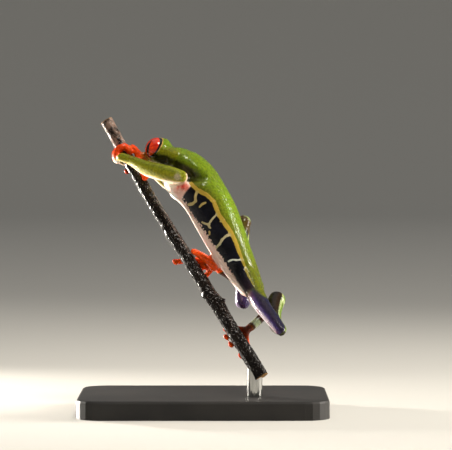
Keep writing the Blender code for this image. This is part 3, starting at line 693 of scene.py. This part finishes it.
def paint_legs(skin):
    """Violet thighs, brown shanks of painted shade with a green top behind a pale line, partly a
    painted highlight, and orange feet.
    """
    for name, rows in (("left", LEFT_THIGH), ("right", RIGHT_THIGH)):
        place, offset = limb(skin.points, rows)
        early = smooth_step(13.0, 5.0, place)[:, None]
        height = offset[:, 2]
        shade = ramp(height, THIGH_ROOT) * early + ramp(height, THIGH_SIDE) * (1.0 - early)
        skin.paint(skin.on("thigh_" + name, rounds=4) * (1.0 - skin.body), shade)
    # the green and its pale line lie where a shank faces up, out of the frog's back
    rim = skin.normals @ np.array((-0.3, -0.1, 0.95))
    for name in ("left", "right"):
        # painted shade: each shank is brown all over, darker where it faces forward; its pale line
        # and green top, where it faces up, are partly a painted lit rim
        shank = skin.on("shank_" + name)
        skin.paint(shank, SHANK_SHADE_BROWN)
        skin.paint(shank * smooth_step(0.3, 0.7, skin.normals[:, 0]), SHANK_FRONT_SHADE)
        skin.paint(shank * smooth_step(0.74, 0.81, rim), PALE_LINE_AND_HIGHLIGHT)
        skin.paint(shank * smooth_step(0.88, 0.93, rim), RIM_GREEN)
    # the right knee: painted brown for its shade, with the pale line and green, partly a painted lit
    # rim, where it faces up
    knee = smooth_step(4.5, 3.0, skin.from_place(RIGHT_KNEE))
    rim = skin.normals @ np.array((0.35, 0.0, 0.94))
    skin.paint(knee, KNEE_SHADE_BROWN)
    skin.paint(knee * smooth_step(0.72, 0.8, rim), PALE_LINE_AND_HIGHLIGHT)
    skin.paint(knee * smooth_step(0.86, 0.92, rim), RIM_GREEN)
    for name in ("left", "right"):
        skin.paint(skin.on("foot_" + name, rounds=2), FOOT_ORANGE)
        skin.paint(skin.on("tarsus_" + name), TARSUS_BROWN)
    place, _ = limb(skin.points, LEFT_TARSUS)
    skin.paint(skin.on("tarsus_left") * bump_over(9.9, 11.9, 0.5, place), TARSUS_BAND)
    # painted shade: the left foot darkens to reddish brown towards its ankle
    ankle = skin.from_place(LEFT_TARSUS[-1][:3])
    skin.paint(skin.on("foot_left") * smooth_step(5.0, 2.0, ankle), ANKLE_SHADE_BROWN)
    heel = smooth_step(5.5, 3.5, skin.from_place(RIGHT_HEEL))
    heel = heel * skin.on("tarsus_right", "shank_right")
    skin.paint(heel, HEEL_VIOLET)
    # paler lilac where the heel faces down: its pale underside, partly a painted lit rim
    skin.paint(heel * smooth_step(-0.6, -0.92, skin.normals[:, 2]), HEEL_LILAC)


def mark_flanks(skin):
    """The dark flank, the height over its lower edge, and the yellow marks, as fields."""
    x, y, z = skin.points.T
    beside = np.abs(y) > FLANK_SIDE
    # the dark flank ends under the yellow line, and in front on a slanting edge by the arm
    within = np.minimum(skin.top - z, 1.7 - x + 0.25 * (z - 12.0))
    flank = smooth_step(-0.25, 0.25, within) * (1.0 - 0.8 * smooth_step(-30.0, -37.0, x))
    set_field(skin.mesh, "flank", flank * skin.body * beside)
    set_field(skin.mesh, "over_edge", z - skin.low)
    # a mark is above 0 inside its line, and counts the mm to its edge
    side_view = np.stack((x, z), axis=1)
    away, _ = near_line(side_view, BORDER)
    mark = np.interp(x, BORDER_PLACES, BORDER_HALF_WIDTHS) - away
    pale = np.zeros(len(x))
    for line, half, paleness in BARS:
        away, _ = near_line(side_view, line)
        pale = np.where(half - away > mark, paleness, pale)
        mark = BAR_FILLET * np.logaddexp(mark / BAR_FILLET, (half - 0.06 - away) / BAR_FILLET)
    mark = np.where(beside & (skin.body > 0.5), mark, NO_MARK)
    mark = np.minimum(mark, smooth_step(4.5, 2.5, x) * 2.0 - 1.0)
    faded = 0.8 * smooth_step(-22.0, -35.0, x) * smooth_step(-0.8, 0.0, z - skin.top)
    set_field(skin.mesh, "mark", mark)
    set_field(skin.mesh, "pale", skin.blur(pale, 4))
    set_field(skin.mesh, "faded", faded)


def make_skin():
    obj = fused_flesh()
    skin = Skin(obj.data)
    shape_skin(skin)
    skin.find_owners()
    for paint_part in (paint_back, paint_underside, paint_head_and_neck, paint_arms, paint_legs):
        paint_part(skin)
    set_field(obj.data, "ground", np.clip(skin.colour, 0.0, 1.0), "FLOAT_COLOR")
    mark_flanks(skin)
    shade_smooth(obj.data)
    obj.data.materials.append(moist_skin())
    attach(obj, "root")
    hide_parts(*FLESH)


def moist_skin():
    """Living tree-frog skin: soft colour from below, a wet film on top, fine low grains."""
    mat, tree, shader = new_material("moist_frog_skin", 0.45, IOR=1.12, Coat_Weight=0.65,
                                     Coat_IOR=1.33, Coat_Roughness=0.1, Subsurface_Weight=0.08,
                                     Subsurface_Scale=0.6 * MM)
    colour = add(tree, "Attribute", attribute_name="ground").outputs["Color"]
    over_edge, flank, mark, pale, faded = (
        add(tree, "Attribute", attribute_name=name).outputs["Fac"]
        for name in ("over_edge", "flank", "mark", "pale", "faded"))
    # the mottling fades where the skin is pale, which is where there is blue in its colour
    blue = add(tree, "SeparateColor", {0: colour}).outputs["Blue"]
    mottle = mm_noise(tree, 0.4, 4.0, roughness=0.7)
    colour = lay(tree, colour, "3C5216", (mottle, 0.42, 0.62, 0.4), (blue, 0.45, 0.12),
                 mode="MULTIPLY")
    colour = lay(tree, colour, "B8C060", (mm_noise(tree, 0.3, 2.0), 0.55, 0.75, 0.5),
                 mode="SOFT_LIGHT")
    # dark flank, with single grains of belly colour along its lower edge
    grain = mm_noise(tree, 0.35, 1.0)
    night = lay(tree, "07070A", "101019", (mm_noise(tree, 3.0, 2.0), 0.3, 0.7))
    colour = lay(tree, colour, night, flank, (ragged(tree, over_edge, grain, 2.4), -0.1, 0.1))
    # yellow line and bars
    yellow = lay(tree, "9E8430", "D4DCD2", pale)
    yellow = lay(tree, yellow, "7C7A22", faded)
    mark = ragged(tree, mark, mm_noise(tree, 0.8, 2.0), 0.55)
    colour = lay(tree, colour, yellow, (mark, -0.06, 0.08))
    tree.links.new(colour, shader.inputs["Base Color"])
    bumped(tree, shader, ((mm_noise(tree, 2.2, 2.0), 0.12), (grain, 0.15)), coat=True)
    return mat


# --- eyes ----------------------------------------------------------------------------------

SLIT_TALL, SLIT_WIDE = 2.8, 0.66                # half the pupil's height and width
RING = (IRIS_ANGLE - 2.5, IRIS_ANGLE - 0.5)     # degrees over which the iris turns black


def make_eye(name, side):
    centre, axis = eye_centre(side), on_head(PUPIL_AIM, side)
    bpy.ops.object.select_all(action="DESELECT")
    bpy.ops.mesh.primitive_uv_sphere_add(segments=64, ring_count=40, radius=EYE_RADIUS * MM)
    eye = bpy.context.object
    eye.name = name.replace("eye", "eyeball")
    upward = on_head(SLIT_UP, side)
    upward -= axis * (upward @ axis)
    upward /= np.linalg.norm(upward)
    local = read(eye.data) / MM
    turned = local @ np.stack((np.cross(upward, axis), upward, axis))
    write(eye.data, to_scene(centre + turned))
    set_field(eye.data, "eye_place", local, "FLOAT_VECTOR")
    set_field(eye.data, "from_iris", angle_from(on_head(IRIS_AIM, side), turned / EYE_RADIUS))
    shade_smooth(eye.data)
    eye.data.materials.append(red_eye())
    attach(eye, "root")
    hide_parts(name)


def red_eye():
    """A wet clear cornea over a red iris: mirror-like gloss, fine spokes, a black slit."""
    mat, tree, shader = new_material("wet_red_eye", 0.12, IOR=1.15, Coat_Weight=1.0,
                                     Coat_Roughness=0.03)
    place = add(tree, "Attribute", attribute_name="eye_place").outputs["Vector"]
    from_iris = add(tree, "Attribute", attribute_name="from_iris").outputs["Fac"]
    across, upright, ahead = add(tree, "SeparateXYZ", {0: place}).outputs
    flat = add(tree, "CombineXYZ", {0: across, 1: upright}).outputs[0]
    reach = add(tree, "VectorMath", {0: flat}, operation="LENGTH").outputs["Value"]
    spoke = add(tree, "VectorMath", {0: flat}, operation="NORMALIZE").outputs["Vector"]
    spokes = add(tree, "TexNoise", {"Vector": spoke, "Scale": 9.0, "Detail": 3.0}).outputs["Fac"]
    red = lay(tree, "C81E02", "FA4A0C", (spokes, 0.3, 0.7))
    red = lay(tree, red, "A81402", (reach, 1.6, 2.8, 0.6))
    # pupil: an upright slit with bowed sides, only at the front of the ball
    tall = add(tree, "Math", {0: upright, 1: SLIT_TALL}, operation="DIVIDE").outputs[0]
    bow = add(tree, "Math", {0: tall, 1: tall}, operation="MULTIPLY").outputs[0]
    bow = add(tree, "Math", {0: 1.0, 1: bow}, operation="SUBTRACT").outputs[0]
    half = add(tree, "Math", {0: bow, 1: SLIT_WIDE}, operation="MULTIPLY").outputs[0]
    off_line = add(tree, "Math", {0: across}, operation="ABSOLUTE").outputs[0]
    inside = add(tree, "Math", {0: half, 1: off_line}, operation="SUBTRACT").outputs[0]
    red = lay(tree, red, "050404", (ahead, 0.0, 0.2), (inside, -0.04, 0.04))
    # the black ring at the iris's rim
    red = lay(tree, red, "060505", (from_iris, *RING))
    tree.links.new(red, shader.inputs["Base Color"])
    return mat


# --- perch ---------------------------------------------------------------------------------

BARK_VOXEL = 0.24
BARK_SINK, BARK_DEEPEST = 0.14, 0.5             # the bark lies this deep in the solid, in mm
# relief of the bark: how fast it changes along and round the branch, where in the noise it
# lies, and its depth in mm
FURROWS, SCALES, PIMPLES = (0.16, 3.2, 0.0, 0.2), (0.9, 2.6, 7.0, 0.16), (2.2, 5.2, 13.0, 0.14)
YEAR_RINGS = 14.0                               # radians of ring for each mm out


def relief(x, turn, kind):
    along, around, shift, _ = kind
    return noise.noise(Vector((x * along, math.cos(turn) * around,
                               math.sin(turn) * around + shift)))


def make_perch():
    perch = merged_copy("cut_branch", ["perch"])
    apply_modifier(perch, "REMESH", mode="VOXEL", voxel_size=BARK_VOXEL * MM)
    mesh = perch.data
    points = to_frog(read(mesh))
    normals = read(mesh, "normal") @ AXES
    x = points[:, 0]
    middle = np.stack((x, np.zeros(len(x)), branch_height(x)), axis=1)
    ray = points - middle
    turn = np.arctan2(ray[:, 1], ray[:, 2])
    cut = np.abs(normals[:, 0]) > 0.7
    cut &= (x < x.min() + 0.5) | (x > x.max() - 0.5)
    depth = np.array([BARK_SINK + FURROWS[3] * abs(relief(px, a, FURROWS))
                      + SCALES[3] * relief(px, a, SCALES) + PIMPLES[3] * relief(px, a, PIMPLES)
                      for px, a in zip(x, turn)])
    depth = np.where(cut, 0.0, np.clip(depth, 0.0, BARK_DEEPEST))
    write(mesh, to_scene(points - normals * depth[:, None]))
    set_field(mesh, "cut", cut.astype(float))
    set_field(mesh, "hollow", depth)
    set_field(mesh, "ring", np.linalg.norm(ray[:, 1:], axis=1))
    set_field(mesh, "along", x)
    shade_smooth(mesh)
    mesh.materials.append(wet_bark())
    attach(perch, "root")
    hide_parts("perch")


def wet_bark():
    """Thin dark bark after rain: rough scales under a broken film of water that glints, and pale
    specks that are painted glints.
    """
    mat, tree, shader = new_material("wet_dark_bark", 0.6, IOR=1.15, Coat_Weight=0.55,
                                     Coat_IOR=1.33, Coat_Roughness=0.06)
    hollow, along, ring, cut = (add(tree, "Attribute", attribute_name=name).outputs["Fac"]
                                for name in ("hollow", "along", "ring", "cut"))
    colour = lay(tree, "170E07", "060302", (hollow, 0.05, 0.35))
    colour = lay(tree, colour, "120B06", (mm_noise(tree, 1.1, 3.0), 0.45, 0.65, 0.5))
    # paler, dry bark towards the top, and pale specks all over, which are painted glints of the wet
    # film
    colour = lay(tree, colour, "8B7263", (along, 20.0, 32.0, 0.75),
                 (mm_noise(tree, 0.9, 3.0), 0.35, 0.6))
    colour = lay(tree, colour, "D2CCC6", (mm_noise(tree, 0.18, 2.0, roughness=0.7), 0.655, 0.69))
    # sawn ends, with a year ring every 0.45 mm
    rings = add(tree, "Math", {0: ring, 1: YEAR_RINGS}, operation="MULTIPLY").outputs[0]
    rings = add(tree, "Math", {0: rings}, operation="SINE").outputs[0]
    sawn = lay(tree, "8A6238", "C39A62", (rings, -1.0, 1.0))
    colour = lay(tree, colour, sawn, cut)
    tree.links.new(colour, shader.inputs["Base Color"])
    bumped(tree, shader, ((mm_noise(tree, 0.7, 3.0), 0.25), (mm_noise(tree, 0.25, 2.0), 0.12)),
           coat=True)
    return mat


# --- stand ---------------------------------------------------------------------------------

def dress(node, mat):
    """A solid that stays as it is gets its finish."""
    obj = frame["nodes"][node]
    obj.data.materials.clear()
    obj.data.materials.append(mat)


def black_painted_wood():
    """Satin black paint sprayed on a planed board: even colour, a faint orange peel."""
    mat, tree, shader = new_material("satin_black_paint_on_wood", 0.55, IOR=1.35)
    colour = lay(tree, "242322", "2E2C2A", (mm_noise(tree, 6.0, 3.0), 0.3, 0.7))
    tree.links.new(colour, shader.inputs["Base Color"])
    bumped(tree, shader, ((mm_noise(tree, 0.8, 1.0), 0.015),))
    return mat


def brushed_steel():
    """Drawn steel rod, brushed along its length: fine streaks that soften its highlight."""
    mat, tree, shader = new_material("brushed_steel_rod", 0.3, Metallic=1.0)
    streak = mm_noise(tree, 0.3, 2.0, stretch=(1.0, 1.0, 0.05))
    rough = add(tree, "MapRange", {"Value": streak, "From Min": 0.2, "From Max": 0.8, "To Max": 0.2},
                interpolation_type="SMOOTHSTEP").outputs[0]
    tree.links.new(rough, shader.inputs["Roughness"])
    colour = lay(tree, "8E8E8C", "B9B9B6", streak)
    tree.links.new(colour, shader.inputs["Base Color"])
    bumped(tree, shader, ((streak, 0.01),))
    return mat


# --- studio --------------------------------------------------------------------------------

FLOOR_RINGS, FLOOR_REACH = (0.0, 0.4, 1.2), 2.0  # the flat floor, in metres
# name, way from the frog, distance, size, watts and spread; the low lamps have grids, which
# keep them off the floor
LAMPS = (("ceiling", (0.0, 0.01, 1.0), 2.0, (2.2, 2.2), 11.0, 180.0),
         ("key", (0.22, -0.42, 0.88), 0.60, (0.11, 0.11), 2.6, 180.0),
         ("strip", (0.95, 0.10, 0.27), 1.10, (0.11, 0.70), 3.0, 60.0),
         ("rim", (-0.80, 0.58, -0.08), 0.34, (0.04, 0.06), 0.76, 60.0))
LAMP_COLOUR, SKY_COLOUR, SKY_STRENGTH = "FFF8EE", "E9EBEE", 0.22
CAMERA_TIP, CAMERA_DISTANCE, CAMERA_LENS = 2.0, 0.9, 222.2    # degrees, metres, mm
FRAME_RIGHT, FRAME_DOWN = 0.02032, 0.00187      # the view's middle, from the branch's origin


def make_stage():
    """Pale paper floor, so wide that its edge curves up out of sight all round."""
    profile = [(r, 0.0, 0.0) for r in (*FLOOR_RINGS, FLOOR_REACH)]
    profile += [(FLOOR_REACH + math.sin(math.radians(a)), 0.0, 1.0 - math.cos(math.radians(a)))
                for a in range(6, 91, 6)]
    mesh = bpy.data.meshes.new("paper_floor")
    mesh.from_pydata(profile, [(i - 1, i) for i in range(1, len(profile))], [])
    floor = new_object("paper_floor", mesh)
    open_mesh(floor)
    bpy.ops.mesh.spin(steps=96, angle=2 * math.pi, center=(0, 0, 0), axis=(0, 0, 1))
    bpy.ops.mesh.select_all(action="SELECT")
    bpy.ops.mesh.remove_doubles(threshold=0.01 * MM)
    bpy.ops.mesh.normals_make_consistent(inside=False)
    bpy.ops.object.mode_set(mode="OBJECT")
    shade_smooth(floor.data)
    mat, _, _ = new_material("pale_studio_paper", 0.8, Base_Color=rgba("CAC8C1"))
    floor.data.materials.append(mat)


def soft_light(name, way, distance, size, watts, spread):
    """A soft box that shines on the frog from some way off."""
    data = bpy.data.lights.new(name, "AREA")
    data.shape, data.size, data.size_y = "RECTANGLE", size[0], size[1]
    data.energy, data.color, data.spread = watts, linear(LAMP_COLOUR), math.radians(spread)
    lamp = bpy.data.objects.new(name, data)
    lamp.visible_camera = False
    aim = Vector(ORIGIN * MM)
    lamp.location = aim + Vector(way).normalized() * distance
    lamp.rotation_euler = (aim - lamp.location).to_track_quat("-Z", "Y").to_euler()
    bpy.context.scene.collection.objects.link(lamp)


def make_camera():
    """Almost level with the frog, from far enough to look flat."""
    tip = math.radians(CAMERA_TIP)
    ahead = Vector((0.0, math.cos(tip), -math.sin(tip)))
    upward = Vector((0.0, math.sin(tip), math.cos(tip)))
    aim = Vector(ORIGIN * MM) + Vector((FRAME_RIGHT, 0.0, 0.0)) - upward * FRAME_DOWN
    data = bpy.data.cameras.new("camera")
    data.sensor_fit, data.sensor_width, data.lens = "HORIZONTAL", 36.0, CAMERA_LENS
    camera = bpy.data.objects.new("camera", data)
    camera.location = aim - ahead * CAMERA_DISTANCE
    camera.rotation_euler = ahead.to_track_quat("-Z", "Y").to_euler()
    bpy.context.scene.collection.objects.link(camera)
    bpy.context.scene.camera = camera


def make_light():
    """Four soft lamps and a dim sky, shown with plain sRGB colours."""
    world = bpy.data.worlds.new("studio")
    world.use_nodes = True
    world.node_tree.nodes["Background"].inputs["Color"].default_value = rgba(SKY_COLOUR)
    world.node_tree.nodes["Background"].inputs["Strength"].default_value = SKY_STRENGTH
    bpy.context.scene.world = world
    bpy.context.scene.view_settings.view_transform = "Standard"
    for lamp in LAMPS:
        soft_light(*lamp)


# the solids come in selected, and an operator acts on all that is selected
for obj in frame["nodes"].values():
    obj.select_set(False)
make_camera()
make_light()
make_stage()
make_skin()
make_eye("eye_left", 1)
make_eye("eye_right", -1)
make_perch()
dress("stand_base", black_painted_wood())
dress("stand_rod", brushed_steel())
